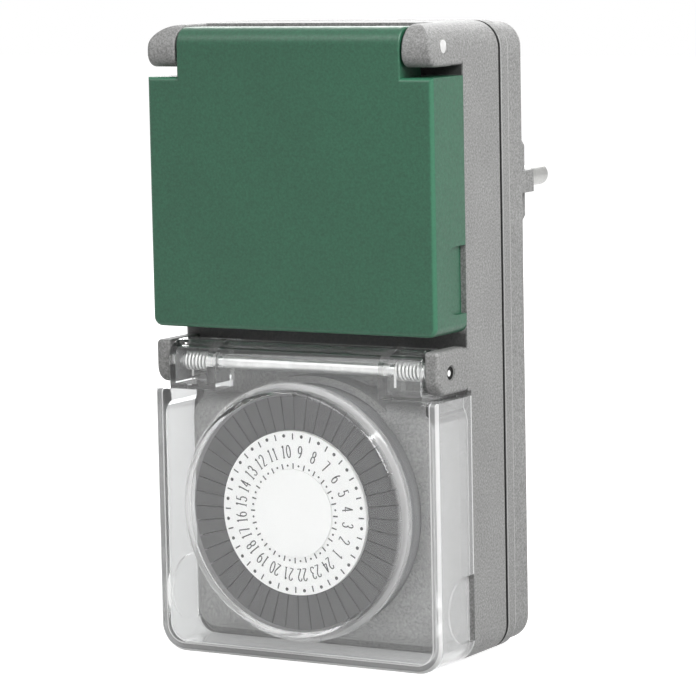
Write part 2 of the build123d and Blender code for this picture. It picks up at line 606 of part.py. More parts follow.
def make_plug_earth():
    """U-shaped strap: a contact strip on the top and bottom of the neck, joined through it."""
    half = PLUG_EARTH_WIDTH / 2
    out = NECK_R - PLUG_EARTH_SINK
    strap = block((-half, half), (-PLUG_EARTH_LENGTH, -PLUG_EARTH_LENGTH + STRIP_THICK), (-out, out))
    for side in (-1, 1):
        faces = sorted((side * out, side * (out - STRIP_THICK)))
        strap += block((-half, half), (-PLUG_EARTH_LENGTH, -PLUG_EARTH_SET_BACK), faces)
    return strap


# ---- socket ----------------------------------------------------------------------------------------
def make_socket_well():
    """Recessed collar with its floor, side flats and key ways, and slots for the earth strips."""
    outer_r = WELL_R + WELL_WALL
    well = slab(disc(outer_r), Y_SEAT, Y_WELL_BACK)
    well += slab(disc(outer_r + WELL_FLANGE), Y_SEAT - WELL_FLANGE_THICK, Y_SEAT)
    well -= slab(flatted(WELL_R, WELL_FLAT_X, WELL_KEY_X, WELL_KEY_HEIGHT),
                 Y_SEAT - WELL_FLANGE_THICK, Y_WELL_FLOOR)
    half = SOCKET_EARTH_WIDTH / 2 + SLIP
    slot_in = SOCKET_EARTH_Z - EARTH_SLOT_IN
    slot_out = SOCKET_EARTH_Z + STRIP_THICK + SLIP
    for side in (-1, 1):
        well -= slab(disc(SOCKET_HOLE_R, side * PIN_X), Y_WELL_FLOOR, Y_WELL_BACK)
        slot_z = sorted((side * slot_in, side * slot_out))
        well -= block((-half, half), (Y_SOCKET_EARTH - EARTH_SLOT_LEAD, Y_WELL_BACK), slot_z)
    return well


def make_socket_earth():
    """U-shaped strap round the contact block, with a sprung strip on each side of the well."""
    half = SOCKET_EARTH_WIDTH / 2
    reach = SOCKET_EARTH_Z + STRIP_THICK
    strap = block((-half, half), (Y_SOCKET_EARTH_BACK - STRIP_THICK, Y_SOCKET_EARTH_BACK), (-reach, reach))
    for side in (-1, 1):
        faces = sorted((side * SOCKET_EARTH_Z, side * reach))
        strap += block((-half, half), (Y_SOCKET_EARTH, Y_SOCKET_EARTH_BACK), faces)
    return strap


def make_contact_block():
    block_back = Y_WELL_BACK + BLOCK_THICK
    holder = slab(Rectangle(2 * BLOCK_HALF_X, 2 * BLOCK_HALF_Z), Y_WELL_BACK, block_back)
    for side in (-1, 1):
        holder -= slab(disc(CONTACT_IN_R + CONTACT_WALL + SLIP, side * PIN_X), Y_WELL_BACK, block_back)
    return holder


def make_contact(x):
    """Sprung contact sleeve, slit along its length."""
    y_cap = Y_CONTACT_BACK - CONTACT_CAP
    sleeve = slab(ring(CONTACT_IN_R + CONTACT_WALL, CONTACT_IN_R, x), Y_CONTACT, y_cap)
    sleeve += slab(disc(CONTACT_IN_R + CONTACT_WALL, x), y_cap, Y_CONTACT_BACK)
    slit_x = (x - CONTACT_SLIT / 2, x + CONTACT_SLIT / 2)
    slit_z = (0, CONTACT_IN_R + CONTACT_WALL)
    return sleeve - block(slit_x, (Y_CONTACT, Y_CONTACT_BACK - CONTACT_SLIT_REST), slit_z)


def make_neutral_bar():
    return block((-PIN_X - BAR_HALF, -PIN_X + BAR_HALF), (Y_CONTACT_BACK, PIN_INNER_END),
                 (-STRIP_THICK / 2, STRIP_THICK / 2))


def make_earth_bar():
    return block((-BAR_HALF, BAR_HALF), (Y_SOCKET_EARTH_BACK, -PLUG_EARTH_LENGTH),
                 (-STRIP_THICK / 2, STRIP_THICK / 2))


def make_live_feed():
    """Bent strip from the live pin, under the live contact, down to the switch."""
    x = (PIN_X - BAR_HALF, PIN_X + BAR_HALF)
    drop = -FEED_DROP
    bar = block(x, (PIN_INNER_END - STRIP_THICK, PIN_INNER_END), (drop, PIN_R))
    bar += block(x, (Y_LIVE_BAR - STRIP_THICK, PIN_INNER_END), (drop - STRIP_THICK, drop))
    bar += block(x, (Y_LIVE_BAR - STRIP_THICK, Y_LIVE_BAR), (SWITCH_BAR_Z - STRIP_THICK, drop))
    bar += block(x, (Y_PLATE, Y_LIVE_BAR), (SWITCH_BAR_Z - STRIP_THICK, SWITCH_BAR_Z))
    return bar


def make_live_return():
    """Strip from the switch back up to the side of the live contact."""
    x = (RETURN_X, RETURN_X + STRIP_THICK)
    y_back = Y_BACK_WALL - GAP
    bar = block(x, (y_back - BAR_HALF, y_back), (SWITCH_BAR_Z - RETURN_HEIGHT, BAR_HALF))
    return bar + block(x, (Y_PLATE, y_back), (SWITCH_BAR_Z - RETURN_HEIGHT, SWITCH_BAR_Z))


# ---- flaps -----------------------------------------------------------------------------------------
def tongue_profile(hinge, hinge_in, rise, radius, back, low, inset=0.0):
    """Side view of a flap's hinge tongue: front face, rounded top, and a little of the back."""
    y, z = hinge
    front = y - hinge_in + inset
    outline = rectangle(front, y + back, z - low, z + rise - inset)
    corner = outline.vertices().filter_by(lambda v: v.X < front + 0.01 and v.Y > z)
    return fillet(corner, radius - inset)


def make_flap(hinge, hinge_in, bottom, seat, corner, tongue_half, rise, radius, shoulder_drop, grip_rise):
    """Open-backed flap with a hinge tongue, a spring box at each of its ends and two finger grips."""
    hinge_y = hinge[0]
    shoulder = hinge[1] - shoulder_drop
    outline = panel(BODY_HALF, bottom, shoulder, corner)
    outline += rectangle(-BODY_HALF, BODY_HALF, shoulder - corner, shoulder)
    shell = slab(outline, Y_FRONT, seat)
    shell = fillet(edges_at_y(shell, Y_FRONT), LID_FRONT_R)
    inner_r = max(corner - LID_WALL, INNER_R)
    inner = panel(BODY_HALF - LID_WALL, bottom + LID_WALL, shoulder - LID_WALL, inner_r)
    shell -= slab(inner, Y_FRONT + LID_WALL, seat)
    open_half = tongue_half + GAP
    shell -= block((-open_half, open_half), (Y_FRONT + LID_WALL, seat), (shoulder - 2 * LID_WALL, shoulder))

    shape = (hinge, hinge_in, rise, radius)
    hood = across(tongue_profile(*shape, HOOD_BACK, shoulder_drop + LID_WALL), -tongue_half, tongue_half)
    for side in (-1, 1):
        ends = [
            edge for edge in edges_at_x(hood, side * tongue_half)
            if edge.center().Y < hinge_y + HOOD_BACK / 2 and edge.center().Z > shoulder - LID_WALL / 2
        ]
        hood = fillet(ends, TONGUE_EDGE_R)
    hollow = tongue_profile(*shape, 2 * HOOD_BACK, shoulder_drop + LID_WALL, LID_WALL)
    hood -= across(hollow, -tongue_half, tongue_half)
    flap = shell + hood

    # spring boxes: two cheeks on the rod and a floor between them
    inside = tongue_profile(*shape, CHEEK_R, shoulder_drop, TONGUE_EDGE_R)
    y_floor = (Y_FRONT + TONGUE_EDGE_R, hinge_y + CHEEK_R)
    box_in = tongue_half - CHEEK_OUT - SPRING_ROOM - CHEEK_IN
    for side in (-1, 1):
        for start, thick in ((box_in, CHEEK_IN), (tongue_half - CHEEK_OUT, CHEEK_OUT)):
            flap += across(inside, *sorted((side * start, side * (start + thick))))
        box_x = sorted((side * box_in, side * tongue_half))
        flap += block(box_x, y_floor, (shoulder, shoulder + CHEEK_FLOOR))
    flap -= rod_x(ROD_R + RUN, -tongue_half, tongue_half, *hinge)

    # finger grips: a shallow half-round recess that ends in a notch in the rear edge
    grip_z = bottom + grip_rise
    grip_r = GRIP_HEIGHT / 2
    recess = disc(grip_r, seat - GRIP_REACH + grip_r, grip_z)
    recess += rectangle(seat - GRIP_REACH + grip_r, seat, grip_z - grip_r, grip_z + grip_r)
    notch = rectangle(seat - GRIP_NOTCH, seat, grip_z - grip_r, grip_z + grip_r)
    for side in (-1, 1):
        flap -= across(recess, *sorted((side * (BODY_HALF - GRIP_SINK), side * BODY_HALF)))
        flap -= across(notch, *sorted((side * (BODY_HALF - GRIP_NOTCH_SINK), side * BODY_HALF)))
    return flap


def make_socket_lid():
    return make_flap(SOCKET_HINGE, SOCKET_HINGE_IN, SOCKET_LID_BOTTOM, Y_SEAT, SOCKET_LID_CORNER,
                     SOCKET_TONGUE_HALF, SOCKET_TONGUE_RISE, SOCKET_TONGUE_R, SOCKET_SHOULDER_DROP,
                     SOCKET_GRIP_RISE)


def make_timer_lid():
    flap = make_flap(TIMER_HINGE, TIMER_HINGE_IN, BODY_BOTTOM, Y_TIMER_SEAT, TIMER_LID_CORNER,
                     TIMER_TONGUE_HALF, TIMER_TONGUE_RISE, TIMER_TONGUE_R, TIMER_SHOULDER_DROP,
                     TIMER_GRIP_RISE)
    dome = frustum(DOME_R - DOME_TAPER, DOME_R, Y_FRONT - DOME_RISE, Y_FRONT, DIAL_Z)
    dome = fillet(edges_at_y(dome, Y_FRONT - DOME_RISE), DOME_EDGE_R)

    # the hollow runs parallel to the dome's side and front
    y_hollow = Y_FRONT - DOME_RISE + DOME_WALL
    slope = DOME_TAPER / DOME_RISE
    hollow_r = DOME_R - DOME_TAPER + slope * DOME_WALL - DOME_WALL
    hollow_back = hollow_r + slope * (Y_FRONT + LID_WALL - y_hollow)
    hollow = frustum(hollow_r, hollow_back, y_hollow, Y_FRONT + LID_WALL, DIAL_Z)
    hollow = fillet(edges_at_y(hollow, y_hollow), DOME_EDGE_R / 2)
    return flap + dome - hollow


def make_rod(hinge):
    reach = BODY_HALF - ROD_RECESS
    return rod_x(ROD_R, -reach, reach, *hinge)


def make_hinge_spring(hinge, tongue_half, side):
    """Torsion spring on the rod, with one leg behind the flap's front and one on the housing."""
    coil_r = ROD_R + SPRING_ROD_GAP + SPRING_WIRE_R
    pitch = (SPRING_ROOM - 2 * SPRING_WIRE_R - 2 * SLIP) / SPRING_TURNS
    start = tongue_half - CHEEK_OUT - SPRING_ROOM + SLIP + SPRING_WIRE_R
    end = start + pitch * SPRING_TURNS
    y, z = hinge
    path = Helix(pitch=pitch, height=pitch * SPRING_TURNS, radius=coil_r)
    wire = Plane(origin=path @ 0, z_dir=path % 0) * Circle(SPRING_WIRE_R)
    coil = sweep(wire, path=path, is_frenet=True)
    coil = Pos(start, y, z) * (Rot(0, 90, 0) * (Rot(0, 0, 180) * coil))
    foot_z = z - SPRING_LEG
    front_leg = leg((start, y - coil_r, z), (start, y - coil_r, foot_z))
    back_leg = leg((end, y + coil_r, z), (end, y + coil_r, foot_z - SPRING_WIRE_R))
    back_foot = leg((end, y + coil_r, foot_z), (end, Y_SEAT, foot_z))
    spring = coil + front_leg + back_leg + back_foot
    return spring if side > 0 else mirror(spring, about=Plane.YZ)


def leg(start, stop):
    """Straight piece of spring wire."""
    way = Vector(*stop) - Vector(*start)
    return extrude(Plane(origin=start, z_dir=way) * Circle(SPRING_WIRE_R), amount=way.length)


def make_socket_seal():
    """Soft frame on the housing's face, just inside the green flap's walls."""
    reach = BODY_HALF - LID_WALL - SLIP
    low = SOCKET_LID_BOTTOM + LID_WALL + SLIP
    high = SOCKET_HINGE[1] - SOCKET_SHOULDER_DROP - LID_WALL - SEAL_TOP_GAP
    outer = panel(reach, low, high, 2 * INNER_R)
    inner = panel(reach - SEAL_WIDTH, low + SEAL_WIDTH, high - SEAL_WIDTH, INNER_R)
    return slab(outer - inner, Y_SEAT - SEAL_HEIGHT, Y_SEAT)


# ---- dial ------------------------------------------------------------------------------------------
def make_dial_wheel():
    """Wheel with a channel for the segments, a slotted floor that guides their feet, and a gear."""
    z = DIAL_Z
    wall_in = DISC_R - SEGMENT_IN_GAP - WHEEL_WALL
    wheel = slab(ring(DISC_R - SEGMENT_IN_GAP, HUB_IN_R, 0, z), Y_DISC_BACK, Y_DISC_BACK + WHEEL_WEB)
    wheel += slab(ring(DISC_R - SEGMENT_IN_GAP, wall_in, 0, z), Y_DISC_BACK, Y_DIAL_GEAR)
    wheel += slab(ring(HUB_OUT_R, HUB_IN_R, 0, z), Y_DISC_BACK, Y_DIAL_GEAR_BACK)
    wheel += slab(ring(WHEEL_RIM_OUT, wall_in, 0, z), Y_FLOOR, Y_FLOOR + WHEEL_FLOOR)
    wheel += slab(ring(WHEEL_RIM_OUT, WHEEL_RIM_IN, 0, z), Y_RIM, Y_FLOOR)
    gear = Pos(0, z) * gear_outline(SLOW_MODULE, DIAL_TEETH, TRAIN_ANGLE) - disc(HUB_IN_R, 0, z)
    wheel += slab(gear, Y_DIAL_GEAR, Y_DIAL_GEAR_BACK)
    window = rectangle(FOOT_IN_R - SLIP, FOOT_OUT_R + SLIP, -FOOT_HALF - SLIP, FOOT_HALF + SLIP)
    windows = [Pos(0, z) * Rot(0, 0, angle) * window for angle in segment_angles()]
    return wheel - slab(Sketch() + windows, Y_FLOOR, Y_FLOOR + WHEEL_FLOOR)


def segment_angles():
    step = 360 / SEGMENT_COUNT
    return [90 + (index + 0.5) * step for index in range(SEGMENT_COUNT)]


def make_segment():
    """One switching segment, pointing along +X: a wedge-shaped head and a narrow foot."""
    inner = DISC_R + SLIP
    half = radians(180 / SEGMENT_COUNT)
    side_in = inner * tan(half) - SEGMENT_GAP / 2
    side_out = SEGMENT_OUT_R * tan(half) - SEGMENT_GAP / 2
    head = make_face(Polyline(
        (inner, -side_in), (SEGMENT_OUT_R, -side_out), (SEGMENT_OUT_R, side_out), (inner, side_in),
        close=True))
    foot = rectangle(FOOT_IN_R, FOOT_OUT_R, -FOOT_HALF, FOOT_HALF)
    return slab(head, Y_SEGMENT, Y_HEAD_BACK) + slab(foot, Y_HEAD_BACK, Y_FOOT_BACK)


def place_segment(segment, angle):
    return Pos(0, 0, DIAL_Z) * (Rot(0, -angle, 0) * segment)


def make_dial_disc():
    return slab(ring(DISC_R, CAP_R - CAP_LIP, 0, DIAL_Z), Y_FRONT, Y_DISC_BACK)


def make_dial_cap():
    cap = slab(disc(CAP_R, 0, DIAL_Z), Y_FRONT - CAP_THICK, Y_FRONT)
    return cap + slab(disc(CAP_R - CAP_LIP - SLIP, 0, DIAL_Z), Y_FRONT, Y_DISC_BACK)


def make_dial_arbor():
    arbor = slab(disc(ARBOR_R, 0, DIAL_Z), Y_DISC_BACK + ARBOR_END_GAP, Y_PLATE_BACK)
    return arbor + slab(disc(ARBOR_SHOULDER, 0, DIAL_Z), Y_DIAL_GEAR_BACK + GEAR_SIDE_GAP, Y_PLATE)


# ---- timer works -----------------------------------------------------------------------------------
def make_timer_plate():
    reach = BODY_HALF - HOUSING_WALL - PLATE_SIDE_GAP
    bottom = BODY_BOTTOM + HOUSING_WALL + PLATE_SIDE_GAP
    plate = slab(rectangle(-reach, reach, bottom, TIMER_HINGE_Z - PLATE_TOP_DROP), Y_PLATE, Y_PLATE_BACK)
    for x, z in BOSSES:
        plate -= slab(disc(BOSS_R + 2 * SLIP, x, z), Y_PLATE, Y_PLATE_BACK)
    for x, z in TIMER_POSTS:
        plate -= slab(disc(SCREW_PASS_R, x, z), Y_PLATE, Y_PLATE_BACK)
    plate -= slab(disc(ARBOR_R, 0, DIAL_Z), Y_PLATE, Y_PLATE_BACK)
    plate -= slab(disc(SMALL_ARBOR_R, REDUCTION_X, REDUCTION_Z), Y_PLATE, Y_PLATE_BACK)
    collar_hole = disc(SMALL_ARBOR_R + 2 * SMALL_SHOULDER, MOTOR_PINION_X, MOTOR_PINION_Z)
    plate -= slab(collar_hole, Y_PLATE, Y_PLATE_BACK)
    y, z = LEVER_PIVOT
    lug = disc(LEVER_BOSS_R, y, z) + rectangle(y, Y_PLATE, z - LEVER_BOSS_R, z + LEVER_BOSS_R)
    lug -= disc(LEVER_PIN_R, y, z)
    for side in (-1, 1):
        inner = LEVER_X + side * (LEVER_WIDTH / 2 + SLIP)
        plate += across(lug, *sorted((inner, inner + side * LUG_WIDTH)))
    feed = rectangle(PIN_X - BAR_HALF - SLIP, PIN_X + BAR_HALF + SLIP,
                     SWITCH_BAR_Z - STRIP_THICK - SLIP, SWITCH_BAR_Z + SLIP)
    back = rectangle(RETURN_X - SLIP, RETURN_X + STRIP_THICK + SLIP,
                     SWITCH_BAR_Z - RETURN_HEIGHT - SLIP, SWITCH_BAR_Z + SLIP)
    return plate - slab(feed + back, Y_PLATE, Y_PLATE_BACK)


def make_timer_screws():
    y_head_back = Y_PLATE_BACK + SCREW_HEAD_THICK
    length = PLATE_THICK + TIMER_SCREW_BITE
    return Compound(children=[make_screw(x, z, y_head_back, length) for x, z in TIMER_POSTS])


def make_reduction_gear():
    """Large wheel and small pinion in one piece, between the motor pinion and the dial."""
    x, z = REDUCTION_X, REDUCTION_Z
    bore = disc(SMALL_ARBOR_R + RUN, x, z)
    pinion_phase = 180 + TRAIN_ANGLE + 180 / SLOW_PINION_TEETH
    pinion = Pos(x, z) * gear_outline(SLOW_MODULE, SLOW_PINION_TEETH, pinion_phase)
    wheel = Pos(x, z) * gear_outline(FAST_MODULE, REDUCTION_TEETH, MOTOR_ANGLE)
    gear = slab(pinion, Y_SLOW_PINION, Y_REDUCTION) + slab(wheel, Y_REDUCTION, Y_REDUCTION_BACK)
    return gear - slab(bore, Y_SLOW_PINION, Y_REDUCTION_BACK)


def make_reduction_arbor():
    x, z = REDUCTION_X, REDUCTION_Z
    arbor = slab(disc(SMALL_ARBOR_R, x, z), Y_SLOW_PINION, Y_PLATE_BACK)
    return arbor + slab(disc(SMALL_ARBOR_R + SMALL_SHOULDER, x, z), Y_REDUCTION_BACK + GEAR_SIDE_GAP, Y_PLATE)


def make_motor_case():
    """Closed motor can; its shaft leaves through a collar."""
    can = slab(disc(MOTOR_R, MOTOR_X, MOTOR_Z), Y_PLATE_BACK, Y_PLATE_BACK + MOTOR_DEPTH)
    inside = disc(MOTOR_R - MOTOR_WALL, MOTOR_X, MOTOR_Z)
    can -= slab(inside, Y_PLATE_BACK + MOTOR_FRONT, Y_PLATE_BACK + MOTOR_DEPTH - MOTOR_WALL)
    collar = disc(SMALL_ARBOR_R + SMALL_SHOULDER, MOTOR_PINION_X, MOTOR_PINION_Z)
    can += slab(collar, Y_PLATE_BACK, Y_PLATE_BACK + MOTOR_COLLAR)
    shaft_hole = disc(SMALL_ARBOR_R + RUN, MOTOR_PINION_X, MOTOR_PINION_Z)
    return can - slab(shaft_hole, Y_PLATE_BACK, Y_PLATE_BACK + MOTOR_COLLAR)


def make_motor_coil():
    y_front = Y_PLATE_BACK + MOTOR_FRONT + SLIP
    y_back = Y_PLATE_BACK + MOTOR_DEPTH - MOTOR_WALL - SLIP
    outer = MOTOR_R - MOTOR_WALL - SLIP
    winding = ring(outer, outer - COIL_WIDTH, MOTOR_X, MOTOR_Z)
    shaft_room = disc(SMALL_ARBOR_R + 3 * SMALL_SHOULDER, MOTOR_PINION_X, MOTOR_PINION_Z)
    return slab(winding - shaft_room, y_front, y_back)


def make_motor_pinion():
    """Output shaft of the motor with its pinion."""
    x, z = MOTOR_PINION_X, MOTOR_PINION_Z
    phase = MOTOR_ANGLE + 180 + 180 / MOTOR_PINION_TEETH
    teeth = Pos(x, z) * gear_outline(FAST_MODULE, MOTOR_PINION_TEETH, phase)
    shaft = slab(disc(SMALL_ARBOR_R, x, z), Y_MOTOR_PINION, Y_PLATE_BACK + MOTOR_SHAFT_TAIL)
    return shaft + slab(teeth, Y_MOTOR_PINION, Y_MOTOR_PINION + FAST_PINION_THICK)


def make_switch_lever():
    """Rocker: a pressed-in segment pushes its nose back, and its arm pushes the switch plunger."""
    y, z = LEVER_PIVOT
    top = LEVER_NOSE_Z + LEVER_NOSE / 2
    arm = rectangle(Y_LEVER_ARM, Y_LEVER_BACK, z, top)
    nose = rectangle(Y_FOOT_BACK + LEVER_NOSE_GAP, Y_LEVER_BACK, top - LEVER_NOSE, top)
    profile = arm + nose + disc(LEVER_BOSS_R, y, z) - disc(LEVER_PIN_R + RUN, y, z)
    return across(profile, LEVER_X - LEVER_WIDTH / 2, LEVER_X + LEVER_WIDTH / 2)


def make_lever_pin():
    reach = LEVER_WIDTH / 2 + SLIP + LUG_WIDTH
    return rod_x(LEVER_PIN_R, LEVER_X - reach, LEVER_X + reach, *LEVER_PIVOT)


def make_switch_body():
    z = (SWITCH_BOTTOM, SWITCH_BOTTOM + SWITCH_HEIGHT)
    body = block((LEVER_X - SWITCH_HALF_X, LEVER_X + SWITCH_HALF_X), (Y_SWITCH, Y_PLATE), z)
    return body - slab(disc(PLUNGER_R + RUN, LEVER_X, PLUNGER_Z), Y_SWITCH, Y_PLATE - PLUNGER_BORE_FLOOR)


def make_switch_plunger():
    return slab(disc(PLUNGER_R, LEVER_X, PLUNGER_Z), Y_PLUNGER, Y_SWITCH + PLUNGER_HELD)


# ---- write the pieces ------------------------------------------------------------------------------
def main():
    save("front_housing", make_front_housing())
    save("rear_housing", make_rear_housing())
    save("plug_neck", make_plug_neck())
    save("housing_gasket", make_gasket())
    save("housing_screws", make_housing_screws())
    save("pin_carrier", make_pin_carrier())
    save("plug_pin_left", make_pin(-PIN_X))
    save("plug_pin_right", make_pin(PIN_X))
    save("plug_earth_strap", make_plug_earth())
    save("socket_well", make_socket_well())
    save("socket_earth_strap", make_socket_earth())
    save("contact_block", make_contact_block())
    save("socket_contact_left", make_contact(-PIN_X))
    save("socket_contact_right", make_contact(PIN_X))
    save("neutral_bar", make_neutral_bar())
    save("earth_bar", make_earth_bar())
    save("live_feed_bar", make_live_feed())
    save("live_return_bar", make_live_return())
    save("socket_lid", make_socket_lid())
    save("socket_hinge_rod", make_rod(SOCKET_HINGE))
    save("timer_lid", make_timer_lid())
    save("timer_hinge_rod", make_rod(TIMER_HINGE))
    save("socket_lid_seal", make_socket_seal())
    for name, side in (("left", -1), ("right", 1)):
        save(f"socket_spring_{name}", make_hinge_spring(SOCKET_HINGE, SOCKET_TONGUE_HALF, side))
        save(f"timer_spring_{name}", make_hinge_spring(TIMER_HINGE, TIMER_TONGUE_HALF, side))
    save("dial_wheel", make_dial_wheel())
    segment = make_segment()
    angles = segment_angles()
    pressed = angles.pop(LEVER_SEGMENT)
    save("dial_segments", Compound(children=[place_segment(segment, angle) for angle in angles]))
    save("dial_segment_pressed", place_segment(segment, pressed))
    save("dial_disc", make_dial_disc())
    save("dial_cap", make_dial_cap())
    save("dial_arbor", make_dial_arbor())
    save("timer_plate", make_timer_plate())
    save("timer_screws", make_timer_screws())
    save("reduction_gear", make_reduction_gear())
    save("reduction_arbor", make_reduction_arbor())
    save("motor_case", make_motor_case())
    save("motor_coil", make_motor_coil())
    save("motor_pinion", make_motor_pinion())
    save("switch_lever", make_switch_lever())
    save("lever_pin", make_lever_pin())
    save("switch_body", make_switch_body())
    save("switch_plunger", make_switch_plunger())


main()
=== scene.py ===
"""Outdoor plug-in timer switch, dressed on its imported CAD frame. +Z is up and the flaps face -Y.

Sizes and places are in millimetres, and MM turns them into Blender's metres.
"""
import json
import math
from functools import partial, reduce

import bmesh
import bpy
from mathutils import Matrix, Vector


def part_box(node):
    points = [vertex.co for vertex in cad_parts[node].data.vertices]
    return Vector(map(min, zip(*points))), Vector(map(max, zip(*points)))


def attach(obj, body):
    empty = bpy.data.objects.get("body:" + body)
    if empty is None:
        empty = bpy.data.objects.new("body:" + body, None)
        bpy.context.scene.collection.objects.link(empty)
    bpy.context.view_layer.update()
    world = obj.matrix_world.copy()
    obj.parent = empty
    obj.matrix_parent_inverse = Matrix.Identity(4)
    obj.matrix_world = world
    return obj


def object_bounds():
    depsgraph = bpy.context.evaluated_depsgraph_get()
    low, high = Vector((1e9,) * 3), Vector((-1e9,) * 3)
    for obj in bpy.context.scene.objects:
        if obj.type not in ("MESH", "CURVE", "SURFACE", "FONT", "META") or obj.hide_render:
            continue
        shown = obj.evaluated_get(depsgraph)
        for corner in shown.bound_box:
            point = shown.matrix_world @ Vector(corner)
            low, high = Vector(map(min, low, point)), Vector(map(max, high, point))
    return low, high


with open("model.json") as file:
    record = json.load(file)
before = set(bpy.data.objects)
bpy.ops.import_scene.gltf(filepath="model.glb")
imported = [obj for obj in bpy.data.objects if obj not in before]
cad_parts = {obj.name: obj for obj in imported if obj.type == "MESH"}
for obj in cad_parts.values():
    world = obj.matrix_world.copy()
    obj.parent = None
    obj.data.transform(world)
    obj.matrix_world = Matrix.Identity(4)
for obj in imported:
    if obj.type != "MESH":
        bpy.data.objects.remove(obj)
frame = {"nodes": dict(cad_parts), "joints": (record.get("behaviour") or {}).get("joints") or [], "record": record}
CAD_BOX = [list(corner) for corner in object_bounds()]
MM = 0.001


# ---- helpers, and places taken from the frame ------------------------------------------------------
def link(obj):
    bpy.context.scene.collection.objects.link(obj)
    return obj


def corners(node):
    """Lowest and highest corner of a CAD node."""
    return [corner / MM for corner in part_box(node)]


def joint_place(name):
    """Where a joint of the CAD model turns."""
    joint = next(joint for joint in frame["joints"] if joint["name"] == name)
    return Vector(joint["pos_m"]) / MM


SOCKET_HINGE = joint_place("socket_lid_hinge")
TIMER_HINGE = joint_place("timer_lid_hinge")
DIAL_Z = joint_place("dial_spin").z
DISC_FRONT = corners("dial_disc")[0].y
FRONT_Y = corners("socket_lid")[0].y                # the front face that both flaps share
GREEN_BOTTOM = corners("socket_lid")[0].z
CLEAR_BOTTOM = corners("timer_lid")[0].z
HALF = corners("timer_lid")[1].x                    # half the width of the housing and of both flaps
SEAT_Y = corners("timer_lid")[1].y                  # the clear flap's edge on the housing
SEAM_Y = sum(corner.y for corner in corners("housing_gasket")) / 2
STEP_Y = corners("rear_housing")[0].y + 3.7         # where the rear housing steps in
SHOULDER_Z = SOCKET_HINGE.z - 6.2                   # top of the green flap beside its tongue


# ---- colours ---------------------------------------------------------------------------------------
def srgb(red, green, blue):
    """Linear colour from 0-255 display values."""
    def channel(value):
        value /= 255
        return value / 12.92 if value <= 0.04045 else ((value + 0.055) / 1.055) ** 2.4
    return (channel(red), channel(green), channel(blue), 1.0)


def scaled(colour, factor):
    return (colour[0] * factor, colour[1] * factor, colour[2] * factor, 1.0)


WHITE = (1.0, 1.0, 1.0, 1.0)
GREY = srgb(138, 138, 137)
GREEN = srgb(38, 88, 65)


# ---- node trees ------------------------------------------------------------------------------------
NOISE_RANGE = (0.3, 0.7)                            # most of a noise texture's values lie between these


